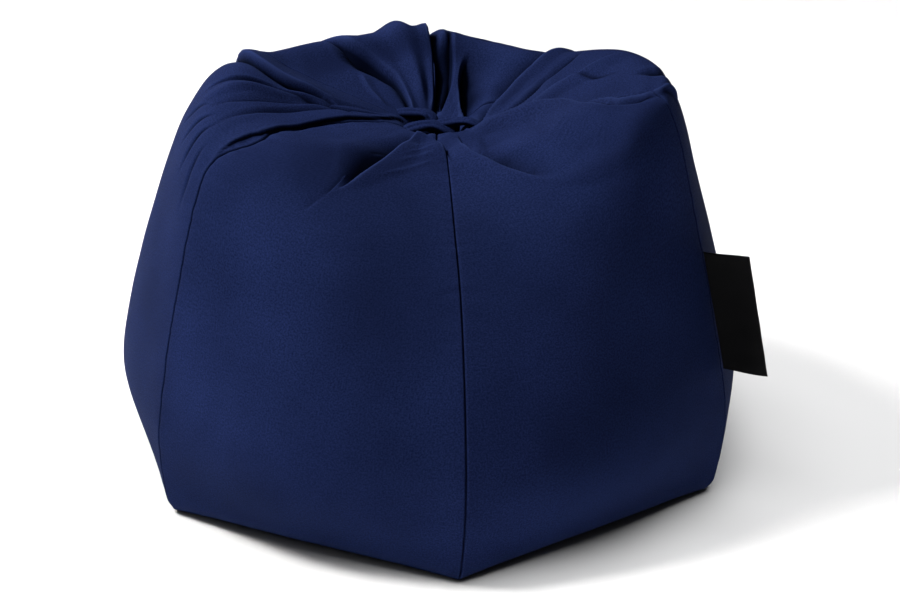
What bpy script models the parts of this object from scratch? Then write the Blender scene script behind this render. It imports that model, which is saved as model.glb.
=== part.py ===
"""A filled bean bag of plain cloth, metres, +Z up, its front towards -Y.

Six tapered side panels are sewn edge to edge and to a six-sided base panel. The bag is filled, and the
panels' upper ends are drawn together into a sunken neck, so the spare cloth round it lies in folds.
A doubled label is caught in the right seam. The origin is on the floor under the middle of the base.

Every point of the cover is named by an azimuth, in degrees from the front towards +X, and by a station:
a number that runs down the cover from the neck, over the crest and the shoulder, to the base seam.
"""

import math
from collections import namedtuple

import bmesh
import bpy
from mathutils import Vector

# Driving sizes
GAP = 0.0003
BASE_THICKNESS = 0.003
NECK_RADIUS = 0.030
NECK_HEIGHT = 0.438
NECK_OFFSET = Vector((0.006, 0.020, 0.0))
NECK_ROOT_DEPTH = 0.060
FLANK_HEIGHT = 0.280
BELLY_HEIGHT = 0.130
HEM_HEIGHT = 0.032
EDGE_HEIGHT = 0.006
SEAM_TUCK = 0.014
HEM_BULGE = 0.006
BASE_INSET = 0.008
BASE_COLUMNS = 8

# Where the slope lies between the lip and the crest, and the hem between the base and the belly
SLOPE_SHARE = 0.55
HEM_SHARE = 0.45

# The gathered neck: the shares of the radius at which its tail and its top have a ring of mesh, and how far
# each ring of the top rises over the neck's height
NECK_COLUMNS = 48
NECK_FOLDS = 7
NECK_FOLD_DEPTH = 0.003
NECK_FOLD_TWIST = 1.5
NECK_TAIL = (0.0, 0.3, 0.65)
NECK_TOP = ((1.0, 0.0), (0.93, 0.002), (0.75, 0.005), (0.5, 0.006), (0.25, 0.003), (0.0, -0.001))

# The label and the seam it is caught in
LABEL_SEAM = 1
LABEL_TOP = 4.78
LABEL_FOOT = 5.68
LABEL_WIDTH = 0.062
LABEL_THICKNESS = 0.0016
LABEL_WAVE = 0.004
LABEL_ROLL = 2.4
LABEL_LIFT = 0.005
LABEL_ROWS = 16
LABEL_COLUMNS = 6

CLOTH_COLOUR = (0.012, 0.022, 0.090)
CLOTH_ROUGHNESS = 0.85
LABEL_COLOUR = (0.010, 0.010, 0.012)
LABEL_ROUGHNESS = 0.7

# Stations down the cover
NECK, LIP, SLOPE, CREST, SHOULDER, FLANK, BELLY, HEM, EDGE, UNDER = range(10)

# How far each station's outline leans from a circle (0) towards a hexagon (1) with its corners at the seams
HEXAGON = (0.0, 0.0, 0.08, 0.20, 0.32, 0.33, 0.36, 0.72, 0.97, 1.0)

# Rows of cover mesh between one station and the next
ROWS = (3, 5, 6, 6, 5, 3, 3, 3, 1)
COLUMNS = 28

# The filled shape, one row for each section: radii are those of the outline's circle, heights from the floor
Section = namedtuple(
    "Section",
    "azimuth lip_r lip_z crest_r crest_z shoulder_r shoulder_z flank_r belly_r base_r",
)
SECTIONS = (
    Section(5, 0.085, 0.461, 0.150, 0.450, 0.275, 0.382, 0.360, 0.430, 0.423),
    Section(35, 0.080, 0.458, 0.190, 0.462, 0.312, 0.408, 0.390, 0.446, 0.416),
    Section(65, 0.065, 0.458, 0.290, 0.526, 0.338, 0.500, 0.398, 0.432, 0.416),
    Section(95, 0.055, 0.454, 0.265, 0.542, 0.328, 0.484, 0.405, 0.444, 0.414),
    Section(125, 0.050, 0.452, 0.195, 0.516, 0.305, 0.460, 0.392, 0.434, 0.412),
    Section(155, 0.050, 0.450, 0.180, 0.522, 0.312, 0.452, 0.396, 0.446, 0.412),
    Section(185, 0.050, 0.450, 0.165, 0.543, 0.305, 0.455, 0.390, 0.434, 0.412),
    Section(215, 0.050, 0.452, 0.185, 0.530, 0.318, 0.455, 0.400, 0.450, 0.412),
    Section(245, 0.055, 0.455, 0.235, 0.524, 0.320, 0.466, 0.398, 0.438, 0.414),
    Section(275, 0.060, 0.458, 0.270, 0.534, 0.341, 0.468, 0.414, 0.449, 0.416),
    Section(305, 0.070, 0.460, 0.290, 0.494, 0.346, 0.446, 0.398, 0.430, 0.418),
    Section(335, 0.080, 0.460, 0.185, 0.462, 0.318, 0.404, 0.392, 0.446, 0.418),
)

# Where each seam runs: its azimuth at the neck, at the crest, at the shoulder and at the base
Seam = namedtuple("Seam", "neck crest shoulder base")
SEAMS = (
    Seam(0, 8, 7, 5),
    Seam(63, 65, 65, 62),
    Seam(120, 122, 124, 125),
    Seam(182, 181, 183, 185),
    Seam(258, 257, 250, 245),
    Seam(303, 307, 306, 307),
)
PANELS = (
    "panel_front_right",
    "panel_right",
    "panel_back_right",
    "panel_back_left",
    "panel_left",
    "panel_front_left",
)

# Heights of the core line behind each station. It drops fast, so a seam's wall stays clear of the steep folds
CORE_HEIGHTS = (
    NECK_HEIGHT - NECK_ROOT_DEPTH, 0.150, 0.070, 0.050, 0.040, 0.031, 0.023, 0.016, 0.009, BASE_THICKNESS + GAP,
)

# The way a fold moves the cover at each station, as an angle from level
FOLD_ANGLES = (90, 90, 88, 78, 40, 12, 0, 0, 0, 0)

# The deepest a fold can go, as a share of its distance from the middle of the bag
DEEPEST_SHARE = 0.28

# The shares of a fold's length over which it grows from nothing and dies away
FOLD_GROWS = 0.2
FOLD_FADES = 0.35

# The main folds. Each runs from a starting azimuth at its top station to an end azimuth at its foot station,
# through a middle azimuth. Height is positive for a ridge and negative for a trough. The two sides are the
# fold's reach towards lower and higher azimuths, and lean pushes its crest sideways over the cloth beside it.
Fold = namedtuple("Fold", "start middle end top foot height low_side high_side lean")
FOLDS = (
    # The pleat rolled over the left seam, and the deep pocket below it in the front left panel
    Fold(284, 297, 304, 0.4, 3.7, 0.018, 0.046, 0.018, 0.006),
    Fold(335, 341, 331, 0.5, 3.8, -0.030, 0.040, 0.022, 0.000),
    # The flap beside the front seam, and the shallow dent to the right of it
    Fold(350, 354, 356, 0.4, 3.4, 0.008, 0.020, 0.030, 0.000),
    Fold(42, 32, 40, 1.0, 3.8, -0.012, 0.022, 0.046, 0.000),
    # The ridge over the right shoulder, and the creases and the ridge behind it
    Fold(57, 66, 70, 0.4, 3.8, 0.014, 0.054, 0.024, 0.000),
    Fold(62, 92, 109, 0.7, 2.7, -0.013, 0.020, 0.020, 0.000),
    Fold(78, 95, 97, 1.3, 3.6, 0.014, 0.028, 0.026, 0.000),
    Fold(100, 82, 84, 1.9, 3.6, -0.009, 0.022, 0.022, 0.000),
    Fold(70, 117, 122, 0.4, 3.9, -0.024, 0.026, 0.036, 0.000),
    # The pocket, the fine crease and the deep crease at the back
    Fold(100, 150, 161, 0.4, 2.6, -0.022, 0.040, 0.020, 0.000),
    Fold(172, 168, 172, 0.6, 3.3, -0.014, 0.018, 0.018, 0.000),
    Fold(186, 179, 183, 0.4, 3.7, -0.034, 0.024, 0.024, 0.000),
    # The middle lobe at the back, the crease under it and the pocket to its left
    Fold(200, 196, 198, 0.5, 3.7, 0.012, 0.034, 0.042, 0.000),
    Fold(222, 211, 222, 0.7, 3.3, -0.018, 0.018, 0.028, 0.000),
    Fold(225, 226, 227, 0.5, 2.6, -0.024, 0.020, 0.040, 0.000),
    # The creases over the left shoulder and the lobe between them
    Fold(282, 267, 258, 0.6, 3.4, -0.020, 0.026, 0.026, 0.000),
    Fold(272, 270, 266, 1.8, 3.9, 0.007, 0.034, 0.030, 0.000),
    Fold(277, 282, 285, 1.2, 3.5, -0.011, 0.020, 0.020, 0.000),
    Fold(272, 291, 295, 0.9, 3.5, -0.011, 0.020, 0.020, 0.000),
)


def smooth(x):
    """A soft step from 0 to 1."""
    x = max(0.0, min(1.0, x))
    return x * x * (3 - 2 * x)


def spline(values, at):
    """Catmull-Rom through evenly spaced values, held at both ends."""
    last = len(values) - 1
    i = max(0, min(last - 1, int(math.floor(at))))
    t = at - i
    a, b, c, d = (values[max(0, min(last, i + k))] for k in (-1, 0, 1, 2))
    return b + 0.5 * t * (c - a + t * (2 * a - 5 * b + 4 * c - d + t * (3 * (b - c) + d - a)))


def around(values, azimuth):
    """Catmull-Rom round the bag, through one value for each section."""
    count = len(values)
    at = (azimuth - SECTIONS[0].azimuth) / 360 * count
    i = math.floor(at)
    four = [values[(i + k) % count] for k in (-1, 0, 1, 2)]
    return spline(four, 1 + at - i)


def section_at(azimuth):
    """The radius and height of every station on one section."""
    s = Section(*(around([row[k] for row in SECTIONS], azimuth) for k in range(len(Section._fields))))
    slope_r = s.lip_r + SLOPE_SHARE * (s.crest_r - s.lip_r)
    slope_z = s.lip_z + SLOPE_SHARE * (s.crest_z - s.lip_z)
    hem_r = s.base_r + HEM_SHARE * (s.belly_r - s.base_r) + HEM_BULGE
    radii = (
        NECK_RADIUS, s.lip_r, slope_r, s.crest_r, s.shoulder_r,
        s.flank_r, s.belly_r, hem_r, s.base_r, s.base_r - SEAM_TUCK,
    )
    heights = (
        NECK_HEIGHT, s.lip_z, slope_z, s.crest_z, s.shoulder_z,
        FLANK_HEIGHT, BELLY_HEIGHT, HEM_HEIGHT, EDGE_HEIGHT, BASE_THICKNESS + GAP,
    )
    return radii, heights


def seam_azimuth(k, station):
    """The azimuth of seam k at a station, past 360 for a seam after the last one."""
    turns, k = divmod(k, len(SEAMS))
    s = SEAMS[k]
    if station < CREST:
        azimuth = s.neck + (s.crest - s.neck) * smooth(station / CREST)
    elif station < SHOULDER:
        azimuth = s.crest + (s.shoulder - s.crest) * smooth(station - CREST)
    else:
        azimuth = s.shoulder + (s.base - s.shoulder) * smooth((station - SHOULDER) / (EDGE - SHOULDER))
    return azimuth + 360 * turns


def neck_drift(station):
    """How far the neck, which isn't in the middle, draws a station's outline to its side."""
    return NECK_OFFSET * (1 - smooth((station - LIP) / (SHOULDER - LIP)))


def filled_point(azimuth, station, across):
    """A point of the smooth filled shape. Across is 0 and 1 on the seams beside it."""
    radii, heights = section_at(azimuth)
    half = math.pi / len(SEAMS)
    flat = math.cos(half) / math.cos((across - 0.5) * 2 * half)
    hexagon = spline(HEXAGON, station)
    radius = spline(radii, station) * (1 - hexagon * (1 - flat))
    height = spline(heights, station)
    a = math.radians(azimuth)
    return Vector((radius * math.sin(a), -radius * math.cos(a), height)) + neck_drift(station)


def fold_azimuth(fold, t):
    """The azimuth of a fold's line, t of the way from its start to its end."""
    bow = fold.middle - 0.5 * (fold.start + fold.end)
    return fold.start + (fold.end - fold.start) * t + 4 * bow * t * (1 - t)


def fold_shift(azimuth, station, radius):
    """How far the folds raise a point and move it sideways, at a radius from the neck."""
    rise = sideways = 0.0
    for f in FOLDS:
        t = (station - f.top) / (f.foot - f.top)
        if not 0 < t < 1:
            continue
        off = (azimuth - fold_azimuth(f, t) + 180) % 360 - 180
        distance = math.radians(off) * radius
        reach = f.low_side if distance < 0 else f.high_side
        near = 1 - abs(distance) / reach
        if near <= 0:
            continue
        ends = smooth(t / FOLD_GROWS) * smooth((1 - t) / FOLD_FADES)
        shape = near ** 1.5 if f.height < 0 else near * near * (3 - 2 * near)
        rise += f.height * ends * shape
        sideways += f.lean * ends * shape
    return max(rise, -DEEPEST_SHARE * radius), sideways


def directions(azimuth):
    """The level ways outward and towards higher azimuths."""
    a = math.radians(azimuth)
    return Vector((math.sin(a), -math.cos(a), 0.0)), Vector((math.cos(a), math.sin(a), 0.0))


def cover_point(k, across, station):
    """A point of the folded cover, on panel k."""
    low, high = seam_azimuth(k, station), seam_azimuth(k + 1, station)
    azimuth = low + (high - low) * across
    p = filled_point(azimuth, station, across)
    radius = (p - neck_drift(station)).to_2d().length
    rise, sideways = fold_shift(azimuth, station, radius)
    angle = math.radians(spline(FOLD_ANGLES, station))
    out, tangent = directions(azimuth)
    return p + out * rise * math.cos(angle) + Vector((0.0, 0.0, rise * math.sin(angle))) + tangent * sideways


def stations():
    """Every station that has a row of mesh."""
    listed = [k + i / n for k, n in enumerate(ROWS) for i in range(n)]
    return listed + [float(UNDER)]


def core_point(station):
    """The point of the core line, upright below the neck, that stands behind a station."""
    return NECK_OFFSET + Vector((0.0, 0.0, spline(CORE_HEIGHTS, station)))


def seam_line(k):
    """The points of seam k, one for each row."""
    return [cover_point(k, 0.0, station) for station in stations()]


def new_object(name, mesh_data, colour=CLOTH_COLOUR, roughness=CLOTH_ROUGHNESS):
    """A named object with its own finish, made of a closed mesh."""
    bmesh.ops.recalc_face_normals(mesh_data, faces=mesh_data.faces)
    mesh = bpy.data.meshes.new(name)
    mesh_data.to_mesh(mesh)
    mesh_data.free()
    obj = bpy.data.objects.new(name, mesh)
    bpy.context.scene.collection.objects.link(obj)
    material = bpy.data.materials.new(name + "_finish")
    material.use_nodes = True
    shader = material.node_tree.nodes["Principled BSDF"]
    shader.inputs["Base Color"].default_value = (*colour, 1.0)
    shader.inputs["Roughness"].default_value = roughness
    shader.inputs["Metallic"].default_value = 0.0
    mesh.materials.append(material)
    return obj


def add_faces(mesh_data, corners):
    """Two triangles over four corners, or one where two of them are the same vertex."""
    a, b, c, d = corners
    for triangle in ((a, b, c), (a, c, d)):
        if len(set(triangle)) == 3:
            mesh_data.faces.new(triangle)


def build_panel(k):
    """One sewn panel with the filling behind it, from its face back to the core line."""
    mesh_data = bmesh.new()
    rows, core = [], []
    for station in stations():
        points = [cover_point(k, j / COLUMNS, station) for j in range(COLUMNS + 1)]
        middle = core_point(station)
        low, high = ((points[end] - middle).to_2d().normalized().to_3d() for end in (0, -1))
        inset = (low + high).normalized() * 0.5 * GAP / math.sin(0.5 * low.angle(high))
        points[0] = points[0] + Vector((-low.y, low.x, 0.0)) * 0.5 * GAP
        points[-1] = points[-1] - Vector((-high.y, high.x, 0.0)) * 0.5 * GAP
        rows.append([mesh_data.verts.new(p) for p in points])
        core.append(mesh_data.verts.new(middle + inset))
    for (row, row_core), (below, below_core) in zip(zip(rows, core), zip(rows[1:], core[1:])):
        for j in range(COLUMNS):
            add_faces(mesh_data, (row[j], row[j + 1], below[j + 1], below[j]))
        add_faces(mesh_data, (row_core, row[0], below[0], below_core))
        add_faces(mesh_data, (row_core, row[-1], below[-1], below_core))
    for row, row_core in ((rows[0], core[0]), (rows[-1], core[-1])):
        for j in range(COLUMNS):
            mesh_data.faces.new((row[j], row[j + 1], row_core))
    return new_object(PANELS[k], mesh_data)


def build_base():
    """The flat base panel the side panels are sewn to."""
    mesh_data = bmesh.new()
    rims = []
    for height in (0.0, BASE_THICKNESS):
        rim = []
        for k in range(len(SEAMS)):
            for j in range(BASE_COLUMNS):
                across = j / BASE_COLUMNS
                low, high = seam_azimuth(k, EDGE), seam_azimuth(k + 1, EDGE)
                p = filled_point(low + (high - low) * across, EDGE, across)
                p = p * (1 - BASE_INSET / math.hypot(p.x, p.y))
                rim.append(mesh_data.verts.new((p.x, p.y, height)))
        rims.append(rim)
    count = len(rims[0])
    for j in range(count):
        n = (j + 1) % count
        mesh_data.faces.new((rims[0][j], rims[0][n], rims[1][n], rims[1][j]))
    for rim in rims:
        mesh_data.faces.new(rim)
    return new_object("base_panel", mesh_data)


def build_neck():
    """The panels' upper ends, drawn together into a knot of small folds that fills the neck."""
    mesh_data = bmesh.new()
    slope = NECK_RADIUS / NECK_ROOT_DEPTH
    root = NECK_HEIGHT - NECK_ROOT_DEPTH + GAP * math.hypot(1.0, slope) / slope
    widest = (NECK_HEIGHT - root) * slope
    rings = [(share, root + share * (NECK_HEIGHT - root), 0.0) for share in NECK_TAIL]
    rings += [(share, NECK_HEIGHT + rise, 4 * NECK_FOLD_DEPTH * share * (1 - share)) for share, rise in NECK_TOP]
    loops = []
    for share, height, fold_depth in rings:
        loop = []
        for j in range(NECK_COLUMNS if share else 1):
            turn = 360 * j / NECK_COLUMNS
            fold = fold_depth * math.cos(NECK_FOLDS * math.radians(turn) + NECK_FOLD_TWIST * share)
            spot = directions(turn)[0] * widest * share + Vector((0.0, 0.0, height + fold))
            loop.append(mesh_data.verts.new(spot + NECK_OFFSET))
        loops.append(loop)
    for loop, above in zip(loops, loops[1:]):
        for j in range(NECK_COLUMNS):
            low, low_next = loop[j % len(loop)], loop[(j + 1) % len(loop)]
            high, high_next = above[j % len(above)], above[(j + 1) % len(above)]
            add_faces(mesh_data, (low, low_next, high_next, high))
    return new_object("neck_gather", mesh_data)


def build_label():
    """The doubled label, standing out from the right seam it is caught in."""
    mesh_data = bmesh.new()
    line = seam_line(LABEL_SEAM)
    listed = stations()
    rows = []
    for i in range(LABEL_ROWS + 1):
        station = LABEL_TOP + (LABEL_FOOT - LABEL_TOP) * i / LABEL_ROWS
        n = max(j for j, s in enumerate(listed) if s <= station)
        part = (station - listed[n]) / (listed[n + 1] - listed[n])
        root = line[n].lerp(line[n + 1], part)
        outward, sideways = directions(seam_azimuth(LABEL_SEAM, station))
        row = []
        for j in range(LABEL_COLUMNS + 1):
            out = j / LABEL_COLUMNS
            wave = LABEL_WAVE * out * math.sin(LABEL_ROLL * out + math.pi * i / LABEL_ROWS)
            middle = root + outward * (1.5 * GAP + LABEL_WIDTH * out) + sideways * wave
            middle.z += LABEL_LIFT * out * out
            row.append([middle + sideways * side * 0.5 * LABEL_THICKNESS for side in (-1, 1)])
        rows.append(row)
    faces = [[[mesh_data.verts.new(pair[side]) for pair in row] for row in rows] for side in (0, 1)]
    for side in faces:
        for row, below in zip(side, side[1:]):
            for j in range(LABEL_COLUMNS):
                add_faces(mesh_data, (row[j], row[j + 1], below[j + 1], below[j]))
    for i in range(LABEL_ROWS):
        for j in (0, -1):
            add_faces(mesh_data, (faces[0][i][j], faces[1][i][j], faces[1][i + 1][j], faces[0][i + 1][j]))
    for i in (0, -1):
        for j in range(LABEL_COLUMNS):
            add_faces(mesh_data, (faces[0][i][j], faces[1][i][j], faces[1][i][j + 1], faces[0][i][j + 1]))
    return new_object("label", mesh_data, LABEL_COLOUR, LABEL_ROUGHNESS)


for old in list(bpy.data.objects):
    bpy.data.objects.remove(old)

for panel in range(len(PANELS)):
    build_panel(panel)
build_base()
build_neck()
build_label()
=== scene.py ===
import math
from collections import namedtuple

import bpy
import numpy as np
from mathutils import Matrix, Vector, noise


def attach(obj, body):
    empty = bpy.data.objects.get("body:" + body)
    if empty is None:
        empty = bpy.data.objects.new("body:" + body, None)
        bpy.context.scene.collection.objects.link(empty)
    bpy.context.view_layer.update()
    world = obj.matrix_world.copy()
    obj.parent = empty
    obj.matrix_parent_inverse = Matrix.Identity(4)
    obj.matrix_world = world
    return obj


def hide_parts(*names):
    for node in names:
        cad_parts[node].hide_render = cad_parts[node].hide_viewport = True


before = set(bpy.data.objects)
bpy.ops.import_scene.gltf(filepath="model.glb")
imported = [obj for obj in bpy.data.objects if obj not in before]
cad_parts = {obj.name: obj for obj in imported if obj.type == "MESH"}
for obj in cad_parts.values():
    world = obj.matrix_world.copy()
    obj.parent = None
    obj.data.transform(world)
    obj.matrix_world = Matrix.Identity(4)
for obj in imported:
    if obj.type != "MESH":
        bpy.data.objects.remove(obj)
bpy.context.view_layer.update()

# Side panels: six tapered panels of navy microfibre, sewn edge to edge, each with the beads behind it.
# Their upper ends are drawn into a sunken neck, so the spare cloth round it lies in pleats and pockets.
# Azimuths are in degrees from the front towards +X. Stations run down the cover from the neck to the base.
NECK, LIP, SLOPE, CREST, SHOULDER, FLANK, BELLY, HEM, EDGE, UNDER = range(10)
GAP = 0.0003
BASE_THICKNESS = 0.003
NECK_RADIUS = 0.030
NECK_HEIGHT = 0.438
NECK_OFFSET = Vector((0.006, 0.020, 0.0))
NECK_ROOT_DEPTH = 0.060
FLANK_HEIGHT = 0.280
BELLY_HEIGHT = 0.130
HEM_HEIGHT = 0.032
EDGE_HEIGHT = 0.006
SEAM_TUCK = 0.014
HEM_BULGE = 0.006
SLOPE_SHARE = 0.55
HEM_SHARE = 0.45

# One value for each station: how six-sided the cover is there, how high the core line behind it lies, and
# how steeply its folds rise, in degrees
HEXAGON = (0.0, 0.0, 0.08, 0.20, 0.32, 0.33, 0.36, 0.72, 0.97, 1.0)
CORE_HEIGHTS = (
    NECK_HEIGHT - NECK_ROOT_DEPTH, 0.150, 0.070, 0.050, 0.040,
    0.031, 0.023, 0.016, 0.009, BASE_THICKNESS + GAP,
)
FOLD_ANGLES = (90, 90, 88, 78, 40, 12, 0, 0, 0, 0)

# The filled form's radii and heights, every 30 degrees
Section = namedtuple(
    "Section",
    "azimuth lip_r lip_z crest_r crest_z shoulder_r shoulder_z flank_r belly_r base_r",
)
SECTIONS = (
    Section(5, 0.085, 0.461, 0.150, 0.450, 0.275, 0.382, 0.360, 0.430, 0.423),
    Section(35, 0.080, 0.458, 0.190, 0.462, 0.312, 0.408, 0.390, 0.446, 0.416),
    Section(65, 0.065, 0.458, 0.290, 0.526, 0.338, 0.500, 0.398, 0.432, 0.416),
    Section(95, 0.055, 0.454, 0.265, 0.542, 0.328, 0.484, 0.405, 0.444, 0.414),
    Section(125, 0.050, 0.452, 0.195, 0.516, 0.305, 0.460, 0.392, 0.434, 0.412),
    Section(155, 0.050, 0.450, 0.180, 0.522, 0.312, 0.452, 0.396, 0.446, 0.412),
    Section(185, 0.050, 0.450, 0.165, 0.543, 0.305, 0.455, 0.390, 0.434, 0.412),
    Section(215, 0.050, 0.452, 0.185, 0.530, 0.318, 0.455, 0.400, 0.450, 0.412),
    Section(245, 0.055, 0.455, 0.235, 0.524, 0.320, 0.466, 0.398, 0.438, 0.414),
    Section(275, 0.060, 0.458, 0.270, 0.534, 0.341, 0.468, 0.414, 0.449, 0.416),
    Section(305, 0.070, 0.460, 0.290, 0.494, 0.346, 0.446, 0.398, 0.430, 0.418),
    Section(335, 0.080, 0.460, 0.185, 0.462, 0.318, 0.404, 0.392, 0.446, 0.418),
)

# The azimuths of each seam on its way down, and how far it bows sideways near the neck
Seam = namedtuple("Seam", "neck crest shoulder base bow")
SEAMS = (
    Seam(0, 8, 7, 5, 0),
    Seam(63, 65, 65, 62, 0),
    Seam(120, 122, 124, 125, 0),
    Seam(182, 181, 183, 185, 0),
    Seam(258, 257, 250, 245, 0),
    Seam(298, 311, 306, 307, -2.5),
)
PANELS = (
    "panel_front_right",
    "panel_right",
    "panel_back_right",
    "panel_back_left",
    "panel_left",
    "panel_front_left",
)

# Tucks, where the cloth rolls over and lies on the cloth beside it. Each follows a path of points, given
# as azimuth and station. Side says on which side the lower layer lies, 1 for the path's high side, which
# is on the left of its way, seen from above. Rise is the height of the rolled edge, depth how deep the
# lower layer starts under it, roll how far the edge overhangs, curl the cloth that it takes up, and top
# and under the reach of the two layers. Grow and fade are the shares of the path over which it rises and
# dies out, and tip is how wide it still is at its outer end.
Tuck = namedtuple("Tuck", "side rise depth roll curl top under grow fade tip path")
TUCKS = (
    # The pleat rolled over the left seam
    Tuck(1, 0.004, 0.000, 0.003, 0.004, 0.036, 0.014, 0.06, 0.20, 0.6,
         ((250, 0.70), (280, 0.95), (293, 1.15), (299, 1.6), (305, 2.23), (308.5, 2.75), (308, 3.05),
          (307, 3.42), (306, 3.9))),
    # The flap beside the front seam: its edge over the deep pocket, and its top edge over the neck
    Tuck(-1, 0.005, 0.044, 0.005, 0.008, 0.030, 0.050, 0.08, 0.22, 0.35,
         ((352, 1.3), (349, 1.6), (346.5, 2.2), (344.5, 2.8), (342, 3.08), (339.5, 3.25), (337, 3.4),
          (334, 3.58))),
    Tuck(1, 0.008, 0.010, 0.004, 0.009, 0.034, 0.030, 0.15, 0.40, 1.0,
         ((338, 2.3), (342, 1.95), (346.5, 1.72), (352, 1.66), (358, 1.80), (2.5, 2.15), (5.5, 2.6),
          (7, 3.1))),
    # The pinched edge to the right of the front seam
    Tuck(1, 0.007, 0.011, 0.003, 0.007, 0.034, 0.040, 0.20, 0.45, 1.0,
         ((16, 1.3), (16.5, 1.6), (17, 2.0), (18.5, 2.8), (21, 3.0), (25, 3.12), (30, 3.32), (36, 3.58))),
    # The ridge over the right shoulder, and the second one behind it
    Tuck(1, 0.017, 0.007, 0.005, 0.012, 0.050, 0.026, 0.12, 0.35, 1.0,
         ((24, 1.2), (42, 1.27), (54, 1.48), (62, 1.7), (61, 2.0), (55, 2.55), (55, 2.98), (57, 3.15),
          (60, 3.38), (65, 3.62))),
    Tuck(1, 0.007, 0.008, 0.003, 0.006, 0.010, 0.024, 0.20, 0.30, 1.0,
         ((63, 2.2), (62, 2.6), (62, 2.95), (71, 3.7))),
    # The sharp edge over the left shoulder, which makes the corner of its outline
    Tuck(1, 0.011, 0.013, 0.003, 0.005, 0.060, 0.030, 0.25, 0.30, 1.0,
         ((285, 1.5), (280, 1.7), (277, 1.9), (274.5, 2.2), (272, 2.42), (269, 2.64), (264, 2.88),
          (257, 3.2), (250, 3.6))),
    # The lobe behind the right shoulder, over the back right panel
    Tuck(1, 0.009, 0.005, 0.003, 0.009, 0.026, 0.020, 0.25, 0.35, 1.0,
         ((56, 1.4), (73, 1.6), (85, 1.82), (90, 2.15), (91, 2.48), (93, 3.3))),
    Tuck(1, 0.008, 0.032, 0.003, 0.009, 0.018, 0.032, 0.12, 0.30, 1.0,
         ((57, 1.0), (94, 1.23), (113, 1.65), (120, 2.02), (120, 2.45), (121, 3.7))),
    # The back lobe over the pocket to its right, and over the left panel
    Tuck(-1, 0.003, 0.030, 0.003, 0.008, 0.012, 0.056, 0.15, 0.35, 1.0,
         ((110, 0.8), (140, 1.05), (158, 1.5), (163, 1.95), (162, 2.5))),
    Tuck(-1, 0.004, 0.046, 0.004, 0.010, 0.016, 0.018, 0.10, 0.35, 0.5,
         ((192, 0.6), (183, 1.3), (181, 1.8), (183, 2.5), (184, 3.6))),
    Tuck(1, 0.007, 0.026, 0.004, 0.007, 0.024, 0.024, 0.08, 0.35, 0.5,
         ((222, 0.8), (213, 1.3), (211, 1.68), (214, 1.95), (218, 2.3), (223, 2.7), (225, 3.4))),
)

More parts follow.
